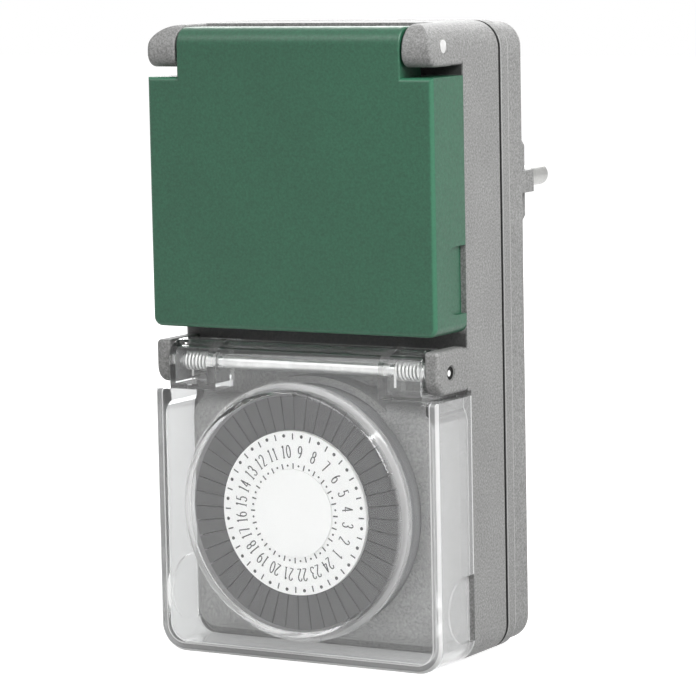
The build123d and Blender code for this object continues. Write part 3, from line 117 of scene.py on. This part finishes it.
class Nodes:
    """Short hand for the node tree of one material or world. A mask is a number from 0 to 1."""

    def __init__(self, owner, output="ShaderNodeOutputMaterial"):
        owner.use_nodes = True
        self.owner = owner
        self.tree = owner.node_tree
        self.tree.nodes.clear()
        self.output = self.add(output)

    def set(self, socket, value):
        """Links the socket to another node's output, or gives it a plain value."""
        if isinstance(value, bpy.types.NodeSocket):
            self.tree.links.new(value, socket)
        else:
            socket.default_value = value

    def add(self, kind, **inputs):
        """New node. Its inputs are given by name, with _ for a space."""
        node = self.tree.nodes.new(kind)
        for key, value in inputs.items():
            self.set(node.inputs[key.replace("_", " ")], value)
        return node

    def show(self, surface):
        self.tree.links.new(surface, self.output.inputs["Surface"])

    def shader(self, **inputs):
        self.show(self.add("ShaderNodeBsdfPrincipled", **inputs).outputs["BSDF"])

    def place(self):
        return self.add("ShaderNodeTexCoord").outputs["Object"]

    def axes(self):
        """The surface point's x, y and z in millimetres, with the object at rest."""
        node = self.add("ShaderNodeSeparateXYZ", Vector=self.place())
        return [self.math("DIVIDE", node.outputs[axis], MM) for axis in "XYZ"]

    def noise(self, place, scale, detail, rough):
        node = self.add("ShaderNodeTexNoise", Vector=place, Scale=scale, Detail=detail, Roughness=rough)
        return node.outputs["Fac"]

    def bump(self, height, strength, distance, normal=None):
        node = self.add("ShaderNodeBump", Strength=strength, Distance=distance * MM, Height=height)
        if normal is not None:
            self.set(node.inputs["Normal"], normal)
        return node.outputs["Normal"]

    def mix(self, factor, one, two, mode="MIX"):
        """Blend of two colours, the first where factor is 0."""
        node = self.tree.nodes.new("ShaderNodeMix")
        node.data_type = "RGBA"
        node.blend_type = mode
        colours = [socket for socket in node.inputs if socket.type == "RGBA"]
        for socket, value in zip([node.inputs["Factor"]] + colours, (factor, one, two)):
            self.set(socket, value)
        return next(socket for socket in node.outputs if socket.type == "RGBA")

    def choose(self, factor, one, two):
        """Blend of two shaders, the first where factor is 0."""
        node = self.add("ShaderNodeMixShader")
        for socket, value in zip(node.inputs, (factor, one.outputs[0], two.outputs[0])):
            self.set(socket, value)
        return node.outputs[0]

    def math(self, operation, *values):
        node = self.tree.nodes.new("ShaderNodeMath")
        node.operation = operation
        for socket, value in zip(node.inputs, values):
            self.set(socket, value)
        return node.outputs["Value"]

    def all_of(self, *masks):
        return reduce(partial(self.math, "MINIMUM"), masks)

    def any_of(self, *masks):
        return reduce(partial(self.math, "MAXIMUM"), masks)

    def span(self, value, low, high, out_low, out_high):
        """Carries low to out_low and high to out_high, and stays level beyond them."""
        node = self.add("ShaderNodeMapRange", Value=value, From_Min=low, From_Max=high,
                        To_Min=out_low, To_Max=out_high)
        return node.outputs["Result"]

    def spread(self, noise, low=0.0, high=1.0):
        return self.span(noise, *NOISE_RANGE, low, high)

    def rise(self, value, none, full):
        """Mask that is 0 at none and 1 at full."""
        return self.span(value, none, full, 0.0, 1.0)

    def band(self, value, low, high, fade=0.1):
        """Mask that is 1 from low to high and fades outside them."""
        return self.all_of(self.rise(value, low - fade, low), self.rise(value, high + fade, high))

    def length(self, one, two):
        squares = [self.math("MULTIPLY", part, part) for part in (one, two)]
        return self.math("SQRT", self.math("ADD", *squares))

    def inset(self, x, z, bottom, radius):
        """Distance inwards from the outline of a flap with rounded lower corners."""
        across = self.math("SUBTRACT", self.math("ABSOLUTE", x), HALF - radius)
        down = self.math("SUBTRACT", bottom + radius, z)
        corner = self.length(*(self.math("MAXIMUM", part, 0.0) for part in (across, down)))
        flat = self.math("MINIMUM", self.math("MAXIMUM", across, down), 0.0)
        return self.math("SUBTRACT", self.math("SUBTRACT", radius, corner), flat)


# ---- kinds of material -----------------------------------------------------------------------------
MOTTLE_SCALE = 70.0
PATCH_SHARE = 0.6                                   # of the grain's scale, for patches of roughness
PIT_SHARE = 0.35                                    # of the grain's scale, for broader pits
GRAIN_DEPTH = 0.06
UNEVEN = 0.07                                       # the roughness of plastic goes this far up and down

DRAWN_SCALE = 900.0
DRAWN_BUMP = 0.09
DRAWN_DEPTH = 0.02
SPOT_SCALE = 300.0
SPOT_TONES = (0.86, 1.06)                           # darkest and palest spots of a metal
SMOOTHER, ROUGHER = 0.06, 0.10                      # the roughness of metal goes this far down and up


def moulded(name, colour, rough, grain=2600.0, speckle=0.10, bump=0.25, mottle=0.05, detail=None):
    """Moulded plastic with a spark-eroded grain: fine light and dark specks, slow mottling, grain bump."""
    n = Nodes(bpy.data.materials.new(name))
    place = n.place()
    fine = n.noise(place, grain, detail=2.0, rough=0.7)
    broad = n.noise(place, MOTTLE_SCALE, detail=3.0, rough=0.55)
    patches = n.noise(place, grain * PATCH_SHARE, detail=2.0, rough=0.6)
    pits = n.noise(place, grain * PIT_SHARE, detail=2.0, rough=0.5)
    tone = n.mix(n.spread(fine), scaled(colour, 1 - speckle), scaled(colour, 1 + speckle))
    tone = n.mix(1.0, tone, n.mix(n.spread(broad), scaled(WHITE, 1 - mottle), WHITE), "MULTIPLY")
    if detail is not None:
        tone = detail(n, tone)
    normal = n.bump(fine, bump, GRAIN_DEPTH)
    normal = n.bump(pits, bump / 2, GRAIN_DEPTH * 2, normal)
    n.shader(Base_Color=tone, Roughness=n.spread(patches, rough - UNEVEN, rough + UNEVEN), Normal=normal)
    return n.owner


def metal(name, colour, rough, stretch=(1.0, 1.0, 12.0), detail=None):
    """Metal with fine drawn scratches and slightly uneven polish."""
    n = Nodes(bpy.data.materials.new(name))
    place = n.place()
    drawn = n.add("ShaderNodeMapping", Vector=place, Scale=stretch).outputs["Vector"]
    lines = n.noise(drawn, DRAWN_SCALE, detail=4.0, rough=0.7)
    spots = n.noise(place, SPOT_SCALE, detail=3.0, rough=0.6)
    tone = n.mix(n.spread(spots), *(scaled(colour, share) for share in SPOT_TONES))
    if detail is not None:
        tone = detail(n, tone)
    n.shader(Base_Color=tone, Metallic=1.0, Roughness=n.spread(lines, rough - SMOOTHER, rough + ROUGHER),
             Normal=n.bump(lines, DRAWN_BUMP, DRAWN_DEPTH))
    return n.owner


# ---- painted shade and highlights on the housing, the green flap and the rods ----------------------
# A band is (low, high). An edge of a mask is (where the mask is 0, where it is 1).
# painted shade: the housing between the flaps and beside the upper ears is darkened where they shelter it
STRIP_Z_BAND = (-34.5, -27.5)                       # the housing between the flaps
STRIP_Y_BAND = (-65.5, -60.0)
NOOK_Z_BAND = (27.0, 33.0)                          # the housing beside the upper ears
NOOK_Y_BAND = (-69.0, -60.0)
INSIDE_EDGE = (HALF - 0.2, HALF - 0.4)
SIDE_EDGE = (HALF - 0.8, HALF - 0.6)
SEAM_BAND = (SEAM_Y - 0.45, SEAM_Y + 0.45)
# painted highlights along the seam's and the step's edges
SEAM_HIGHLIGHT_BAND = (SEAM_Y + 0.6, SEAM_Y + 0.8)
STEP_HIGHLIGHT_BAND = (STEP_Y - 0.35, STEP_Y + 0.1)
SHADE = 0.08                                        # colour of a sheltered place, as a share of the grey
SEAM_SHADE = 0.05
PALE = 2.2                                          # colour of an edge that catches light, as a share
# how strongly the painted shade and the painted highlights of the housing and the green flap show
SHADE_STRENGTH, HIGHLIGHT_LINE_STRENGTH, CORNER_STRENGTH = 0.85, 0.5, 0.40

GREEN_CORNER = 2.0
GREEN_RIM_EDGE = (0.8, 0.5)                         # inwards from the green flap's outline
GREEN_FACE_EDGE = (FRONT_Y + 1.0, FRONT_Y + 0.7)
SHOULDER_BAND = (SHOULDER_Z - 0.6, SHOULDER_Z + 0.1)
SHOULDER_TOP = SHOULDER_Z + 0.2
TONGUE_EDGE = (27.2, 27.6)

# painted shade: a dark ring on the lower hinge rod's ends
ROD_MIDDLE_Y = TIMER_HINGE.y - 0.3                  # the bright middle sits a little to the front
ROD_RING_BAND = (0.72, 1.8)                         # from the bright middle to beyond the rod
ROD_TIP_EDGE = (HALF - 1.0, HALF - 0.8)
ROD_END_SHADE = srgb(20, 20, 20)


def housing_marks(n, tone):
    """Painted shade darkens sheltered strips of the housing, its seam is darker, and painted highlights make the
    seam's and the step's edges paler.
    """
    x, y, z = n.axes()
    aside = n.math("ABSOLUTE", x)
    # painted shade on the strip between the flaps and the nooks beside the upper ears
    strip = n.all_of(n.band(z, *STRIP_Z_BAND, fade=0.8), n.band(y, *STRIP_Y_BAND, fade=1.0))
    nook = n.all_of(n.band(z, *NOOK_Z_BAND, fade=0.5), n.band(y, *NOOK_Y_BAND, fade=1.0))
    sheltered = n.all_of(n.rise(aside, *INSIDE_EDGE), n.any_of(strip, nook))
    tone = n.mix(n.math("MULTIPLY", sheltered, SHADE_STRENGTH), tone, scaled(GREY, SHADE))
    tone = n.mix(n.band(y, *SEAM_BAND, fade=0.05), tone, scaled(GREY, SEAM_SHADE))
    # painted highlights along the seam's and the step's edges
    edges = n.any_of(n.band(y, *SEAM_HIGHLIGHT_BAND), n.band(y, *STEP_HIGHLIGHT_BAND))
    pale = n.all_of(edges, n.rise(aside, *SIDE_EDGE))
    return n.mix(n.math("MULTIPLY", pale, HIGHLIGHT_LINE_STRENGTH), tone, scaled(GREY, PALE))


def light_corners(n, tone):
    """The green flap's rounded edges catch more light: a thin line along them is paler."""
    x, y, z = n.axes()
    outline = n.rise(n.inset(x, z, GREEN_BOTTOM, GREEN_CORNER), *GREEN_RIM_EDGE)
    shoulder = n.all_of(n.band(z, *SHOULDER_BAND), n.rise(n.math("ABSOLUTE", x), *TONGUE_EDGE))
    below = n.math("LESS_THAN", z, SHOULDER_TOP)
    line = n.all_of(n.any_of(outline, shoulder), n.rise(y, *GREEN_FACE_EDGE), below)
    return n.mix(n.math("MULTIPLY", line, CORNER_STRENGTH), tone, scaled(GREEN, PALE))


def rod_end(n, tone):
    """Painted shade: the lower hinge rod's ends show a dark ring round a bright middle."""
    x, y, z = n.axes()
    radius = n.length(n.math("SUBTRACT", y, ROD_MIDDLE_Y), n.math("SUBTRACT", z, TIMER_HINGE.z))
    ring = n.all_of(n.band(radius, *ROD_RING_BAND), n.rise(n.math("ABSOLUTE", x), *ROD_TIP_EDGE))
    return n.mix(ring, tone, ROD_END_SHADE)


# ---- the clear flap --------------------------------------------------------------------------------
CLEAR_CORNER = 6.0
WALL_EDGE = (1.7, 1.6)                              # inwards from the clear flap's outline: its side walls
INNER_BAND = (1.6, 2.0)                             # and the inner faces of these walls
INNER_Y_EDGE = (FRONT_Y + 1.9, FRONT_Y + 2.2)
# painted highlights: pale lines along the clear flap's front edge, inner step and foot
CORNER_BAND = (-1.0, 0.6)                           # line along the front's outer edge
CORNER_Y_EDGE = (FRONT_Y + 0.9, FRONT_Y + 0.7)
STEP_BAND = (1.75, 2.0)                             # line where the front meets the walls inside
STEP_Y_EDGE = (FRONT_Y + 2.1, FRONT_Y + 1.9)
FOOT_EDGE = (SEAT_Y - 0.5, SEAT_Y - 0.4)            # line along the edge on the housing
DOME_INNER_EDGE = (26.4, 27.1)                      # the dome's side, from the dial's centre
DOME_OUTER_EDGE = (28.1, 27.7)
CLEAREST = 0.985
WALL_HAZE = 0.30
INNER_HAZE = 0.22
HIGHLIGHT_LINE_HAZE = 0.60
FACE_TINT = (0.97, 0.975, 0.975, 1.0)
WALL_TINT = (0.74, 0.745, 0.745, 1.0)
LINE_TINT = (0.98, 0.98, 0.98, 1.0)
WAVE_SCALE = 55.0
WAVE_BUMP = 0.06
WAVE_DEPTH = 0.6
SCRATCH_SCALE = 900.0
SCRATCH_RANGE = (0.35, 0.75)
POLISH = (0.004, 0.030)                             # roughness between the scratches and in them


def clear(name):
    """Clear moulded plastic: polished face, hazier walls and dome rim, pale lines along its edges as painted
    highlights, faint flow waves, fine scratches.
    """
    n = Nodes(bpy.data.materials.new(name))
    place = n.place()
    waves = n.noise(place, WAVE_SCALE, detail=2.0, rough=0.5)
    scratches = n.noise(place, SCRATCH_SCALE, detail=3.0, rough=0.7)
    x, y, z = n.axes()
    inset = n.inset(x, z, CLEAR_BOTTOM, CLEAR_CORNER)
    radius = n.length(x, n.math("SUBTRACT", z, DIAL_Z))
    wall = n.rise(inset, *WALL_EDGE)
    inner = n.all_of(n.band(inset, *INNER_BAND), n.rise(y, *INNER_Y_EDGE))
    corner = n.all_of(n.band(inset, *CORNER_BAND), n.rise(y, *CORNER_Y_EDGE))
    step = n.all_of(n.band(inset, *STEP_BAND), n.rise(y, *STEP_Y_EDGE))
    # painted highlights along the clear flap's edges
    lines = n.any_of(corner, step, n.rise(y, *FOOT_EDGE))
    dome = n.all_of(n.rise(radius, *DOME_INNER_EDGE), n.rise(radius, *DOME_OUTER_EDGE))
    tint = n.mix(n.any_of(dome, lines), n.mix(wall, FACE_TINT, WALL_TINT), LINE_TINT)
    strengths = ((n.any_of(wall, dome), WALL_HAZE), (inner, INNER_HAZE), (lines, HIGHLIGHT_LINE_HAZE))
    haze = n.any_of(*(n.math("MULTIPLY", mask, strength) for mask, strength in strengths))
    n.shader(Base_Color=tint, Roughness=n.span(scratches, *SCRATCH_RANGE, *POLISH), IOR=1.25,
             Normal=n.bump(waves, WAVE_BUMP, WAVE_DEPTH), Coat_Weight=0.6, Coat_IOR=1.5, Coat_Roughness=0.03,
             Transmission_Weight=n.math("SUBTRACT", CLEAREST, haze))
    return n.owner


# ---- one material for each slot of the record, and the dial's ink ----------------------------------
PLASTICS = {
    "grey_plastic": dict(colour=GREY, rough=0.52, grain=2200.0, speckle=0.40, bump=0.4, mottle=0.13,
                         detail=housing_marks),
    "green_plastic": dict(colour=GREEN, rough=0.40, grain=1900.0, speckle=0.22, bump=0.35, mottle=0.10,
                          detail=light_corners),
    "black_rubber": dict(colour=srgb(16, 16, 17), rough=0.8, grain=1800.0, speckle=0.15),
    "dark_insulator": dict(colour=srgb(58, 58, 60), rough=0.5, speckle=0.12),
    "socket_plastic": dict(colour=srgb(78, 78, 80), rough=0.5, speckle=0.12),
    "wheel_plastic": dict(colour=srgb(132, 132, 133), rough=0.42, speckle=0.05, bump=0.10),
    "segment_plastic": dict(colour=srgb(52, 52, 53), rough=0.40, speckle=0.06, bump=0.04),
    "white_print": dict(colour=srgb(246, 246, 245), rough=0.45, speckle=0.015, bump=0.06, mottle=0.01),
    "white_cap": dict(colour=srgb(247, 247, 246), rough=0.32, speckle=0.012, bump=0.05, mottle=0.01),
    "gear_plastic": dict(colour=srgb(226, 221, 205), rough=0.4, speckle=0.03, bump=0.10),
    "plunger_plastic": dict(colour=srgb(190, 60, 50), rough=0.4, speckle=0.05),
    "dial_ink": dict(colour=srgb(30, 30, 32), rough=0.5, speckle=0.10, bump=0.05),
}
METALS = {
    "zinc_steel": dict(colour=srgb(212, 212, 210), rough=0.32),
    "spring_steel": dict(colour=srgb(240, 240, 239), rough=0.42, detail=rod_end),
    "nickel": dict(colour=srgb(176, 176, 174), rough=0.34, stretch=(1.0, 12.0, 1.0)),
    "brass": dict(colour=srgb(214, 178, 112), rough=0.30),
    "motor_steel": dict(colour=srgb(190, 190, 184), rough=0.42),
    "coil_copper": dict(colour=srgb(176, 96, 58), rough=0.35, stretch=(1.0, 14.0, 1.0)),
}
MATERIALS = {"clear_plastic": clear("clear_plastic")}
MATERIALS.update({name: moulded(name, **look) for name, look in PLASTICS.items()})
MATERIALS.update({name: metal(name, **look) for name, look in METALS.items()})

for part in frame["record"]["subparts"]:
    mesh = frame["nodes"][part["node"]].data
    mesh.materials.clear()
    mesh.materials.append(MATERIALS[part["material_slot"]])


# ---- dial print ------------------------------------------------------------------------------------
INK_PROUD = 0.04
TOP = 90.0                                          # the top's angle, counted from +X
HOURS = 24
HOUR_TURN = 360.0 / HOURS
TOP_HOUR = 10                                       # the hour just left of the top
DIGIT_FOOT_R = 12.0
DIGIT_HEIGHT = 2.6
DIGIT_WIDTH = 1.00
DIGIT_GAP = 0.30
THIN_STROKE = 0.07
THICK_STROKE = 0.15
DOTS = ((16.7, 0.38), (10.3, 0.24))                 # at each hour: distance from the centre, radius
DOT_SIDES = 12
DASHES = ((15.9, 17.2), (9.6, 10.8))                # between the hours: nearest and farthest end
DASH_HALF = 0.15

# Each digit is drawn as a few pen strokes in a box BOX_WIDTH wide and 1 high. An arc is given by its
# centre, its half width and half height, and the angles in degrees where it starts and stops.
BOX_WIDTH = 0.56
ARC_STEP = 15.0
DIGITS = {
    "0": [("arc", 0.28, 0.5, 0.25, 0.5, 0, 360)],
    "1": [("line", 0.30, 0.0, 0.30, 1.0), ("line", 0.30, 1.0, 0.14, 0.86), ("line", 0.16, 0.0, 0.44, 0.0)],
    "2": [("arc", 0.27, 0.74, 0.23, 0.26, 170, -35), ("line", 0.46, 0.59, 0.04, 0.0),
          ("line", 0.04, 0.0, 0.52, 0.0)],
    "3": [("arc", 0.26, 0.76, 0.21, 0.24, 160, -90), ("arc", 0.26, 0.27, 0.25, 0.27, 90, -160)],
    "4": [("line", 0.38, 0.0, 0.38, 1.0), ("line", 0.38, 1.0, 0.03, 0.30), ("line", 0.03, 0.30, 0.54, 0.30)],
    "5": [("line", 0.46, 1.0, 0.14, 1.0), ("line", 0.14, 1.0, 0.10, 0.56),
          ("arc", 0.25, 0.31, 0.26, 0.31, 120, -150)],
    "6": [("arc", 0.28, 0.30, 0.24, 0.30, 0, 360), ("arc", 0.50, 0.30, 0.46, 0.70, 180, 108)],
    "7": [("line", 0.04, 1.0, 0.52, 1.0), ("line", 0.52, 1.0, 0.20, 0.0)],
    "8": [("arc", 0.28, 0.76, 0.20, 0.24, 0, 360), ("arc", 0.28, 0.27, 0.24, 0.27, 0, 360)],
    "9": [("arc", 0.28, 0.70, 0.24, 0.30, 0, 360), ("arc", 0.06, 0.70, 0.46, 0.70, 0, -72)],
}


def stroke_points(stroke):
    """A stroke's middle line as points in the digit's box."""
    if stroke[0] == "line":
        return [(stroke[1], stroke[2]), (stroke[3], stroke[4])]
    _, cx, cy, rx, ry, start, stop = stroke
    count = max(6, int(abs(stop - start) / ARC_STEP))
    angles = [math.radians(start + (stop - start) * i / count) for i in range(count + 1)]
    return [(cx + rx * math.cos(a), cy + ry * math.sin(a)) for a in angles]


def ribbon(bm, points, place):
    """Pen stroke: thick where it runs up and down, thin where it runs across."""
    left, right = [], []
    for i, point in enumerate(points):
        before = points[max(i - 1, 0)]
        after = points[min(i + 1, len(points) - 1)]
        dx, dy = after[0] - before[0], after[1] - before[1]
        length = math.hypot(dx, dy) or 1.0
        half = (THIN_STROKE + (THICK_STROKE - THIN_STROKE) * abs(dy) / length) / 2
        nx, ny = -dy / length * half, dx / length * half
        left.append(bm.verts.new(place(point[0] + nx, point[1] + ny)))
        right.append(bm.verts.new(place(point[0] - nx, point[1] - ny)))
    for i in range(len(points) - 1):
        bm.faces.new((left[i], right[i], right[i + 1], left[i + 1]))


def dial_point(radius, degrees, along=0.0):
    """Point on the disc's face: radius and angle from +X, moved sideways by along (clockwise positive)."""
    a = math.radians(degrees)
    x = radius * math.cos(a) + along * math.sin(a)
    z = radius * math.sin(a) - along * math.cos(a)
    return Vector((x, DISC_FRONT - INK_PROUD, DIAL_Z + z)) * MM


def digit_point(middle, start, x, y):
    """Point (x, y) of a digit's box, which begins at start, measured sideways from the angle middle."""
    return dial_point(DIGIT_FOOT_R + y * DIGIT_HEIGHT, middle, start + x / BOX_WIDTH * DIGIT_WIDTH)


def draw_hour(bm, hour, middle):
    text = str(hour)
    total = len(text) * DIGIT_WIDTH + (len(text) - 1) * DIGIT_GAP
    for index, digit in enumerate(text):
        place = partial(digit_point, middle, -total / 2 + index * (DIGIT_WIDTH + DIGIT_GAP))
        for stroke in DIGITS[digit]:
            ribbon(bm, stroke_points(stroke), place)


def draw_dots(bm, middle):
    turns = [2 * math.pi * i / DOT_SIDES for i in range(DOT_SIDES)]
    for radius, size in DOTS:
        rim = [Vector((math.cos(turn), 0.0, math.sin(turn))) * size * MM for turn in turns]
        bm.faces.new([bm.verts.new(dial_point(radius, middle) + offset) for offset in rim])


def draw_dashes(bm, degrees):
    for low, high in DASHES:
        ends = [(low, -DASH_HALF), (high, -DASH_HALF), (high, DASH_HALF), (low, DASH_HALF)]
        bm.faces.new([bm.verts.new(dial_point(radius, degrees, along)) for radius, along in ends])


def make_dial_print():
    """The 24 hours anticlockwise, each with its dots, and a pair of dashes between two hours."""
    bm = bmesh.new()
    for hour in range(1, HOURS + 1):
        middle = TOP + HOUR_TURN / 2 + HOUR_TURN * (hour - TOP_HOUR)
        draw_hour(bm, hour, middle)
        draw_dots(bm, middle)
        draw_dashes(bm, middle + HOUR_TURN / 2)
    for face in bm.faces:
        face.normal_update()
        if face.normal.y > 0:
            face.normal_flip()
    mesh = bpy.data.meshes.new("dial_print")
    bm.to_mesh(mesh)
    bm.free()
    mesh.materials.append(MATERIALS["dial_ink"])
    return link(bpy.data.objects.new("dial_print", mesh))


dial_print = make_dial_print()
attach(dial_print, "dial")


# ---- floor and background --------------------------------------------------------------------------
FLOOR_HALF = 3000.0
FLOOR_GAP = 0.2                                     # kept under the object
FLOOR_GREY = (0.45, 0.45, 0.45, 1.0)
FLOOR_GLOW = 0.95
WORLD_LEVEL = 0.27


def seen_as_white(n):
    """1 for the rays that show a white background: from the camera, and off gloss or through glass."""
    path = n.add("ShaderNodeLightPath")
    return n.any_of(*(path.outputs[f"Is {kind} Ray"] for kind in ("Camera", "Glossy", "Transmission")))


def floor_material():
    """White to those rays apart from the object's shadow, and a plain pale floor to all others."""
    n = Nodes(bpy.data.materials.new("floor_white"))
    floor = n.add("ShaderNodeBsdfDiffuse", Color=FLOOR_GREY)
    glow = n.add("ShaderNodeEmission", Color=WHITE, Strength=FLOOR_GLOW)
    both = n.add("ShaderNodeAddShader")
    for socket, node in zip(both.inputs, (floor, glow)):
        n.set(socket, node.outputs[0])
    n.show(n.choose(seen_as_white(n), floor, both))
    return n.owner


def make_floor():
    mesh = bpy.data.meshes.new("floor")
    half = FLOOR_HALF * MM
    z = CAD_BOX[0][2] - FLOOR_GAP * MM
    rim = [(x * half, y * half, z) for x, y in ((-1, -1), (1, -1), (1, 1), (-1, 1))]
    mesh.from_pydata(rim, [], [range(4)])
    mesh.materials.append(floor_material())
    floor = link(bpy.data.objects.new("floor", mesh))


def make_world():
    """Dim white light from all round, and full white to the rays that show the background."""
    world = bpy.data.worlds.new("studio")
    bpy.context.scene.world = world
    n = Nodes(world, "ShaderNodeOutputWorld")
    dim = n.add("ShaderNodeBackground", Color=WHITE, Strength=WORLD_LEVEL)
    white = n.add("ShaderNodeBackground", Color=WHITE, Strength=1.0)
    n.show(n.choose(seen_as_white(n), dim, white))


make_floor()
make_world()


# ---- lamps and camera ------------------------------------------------------------------------------
# A lamp's direction is (azimuth, elevation) in degrees, then come its distance and size, and its level.
LAMPS = {
    "key_right": ((68.0, 38.0), 550.0, (260.0, 320.0), 1.09),
    "fill_left": ((-22.0, 44.0), 900.0, (500.0, 400.0), 0.34),
    "fill_back": ((200.0, 25.0), 900.0, (600.0, 600.0), 0.5),
}
LAMP_AIM = (0.0, -50.0, -30.0)

CAMERA_AZIMUTH = 30.402
CAMERA_ELEVATION = 6.782
CAMERA_ROLL = -1.131
CAMERA_PLACE = (387.748, -715.534, 58.050)
SENSOR_WIDTH = 36.0
LENS = 183.27
CLIP = (50.0, 20000.0)


def towards(azimuth, elevation):
    """Unit vector from the object; azimuth is counted from the front towards +X."""
    a, e = math.radians(azimuth), math.radians(elevation)
    return Vector((math.sin(a) * math.cos(e), -math.cos(a) * math.cos(e), math.sin(e)))


def area_lamp(name, direction, distance, size, level):
    """Soft lamp; level is how bright a white surface that faces it becomes."""
    light = bpy.data.lights.new(name, "AREA")
    light.shape = "RECTANGLE"
    light.size, light.size_y = (side * MM for side in size)
    light.energy = level * math.pi ** 2 * (distance * MM) ** 2
    lamp = link(bpy.data.objects.new(name, light))
    way = towards(*direction)
    lamp.location = (Vector(LAMP_AIM) + way * distance) * MM
    lamp.rotation_mode = "QUATERNION"
    lamp.rotation_quaternion = (-way).to_track_quat("-Z", "Y")


def make_camera():
    """The photograph's direction and framing."""
    back = towards(CAMERA_AZIMUTH, CAMERA_ELEVATION)
    level = towards(CAMERA_AZIMUTH + 90.0, 0.0)
    upright = back.cross(level)
    roll = math.radians(CAMERA_ROLL)
    right = level * math.cos(roll) + upright * math.sin(roll)
    up = upright * math.cos(roll) - level * math.sin(roll)
    data = bpy.data.cameras.new("camera")
    data.sensor_width = SENSOR_WIDTH
    data.lens = LENS
    data.clip_start, data.clip_end = (distance * MM for distance in CLIP)
    camera = link(bpy.data.objects.new("camera", data))
    pose = Matrix((right, up, back)).transposed().to_4x4()
    pose.translation = Vector(CAMERA_PLACE) * MM
    camera.matrix_world = pose
    bpy.context.scene.camera = camera


for name, settings in LAMPS.items():
    area_lamp(name, *settings)
make_camera()
bpy.context.scene.view_settings.view_transform = "Standard"
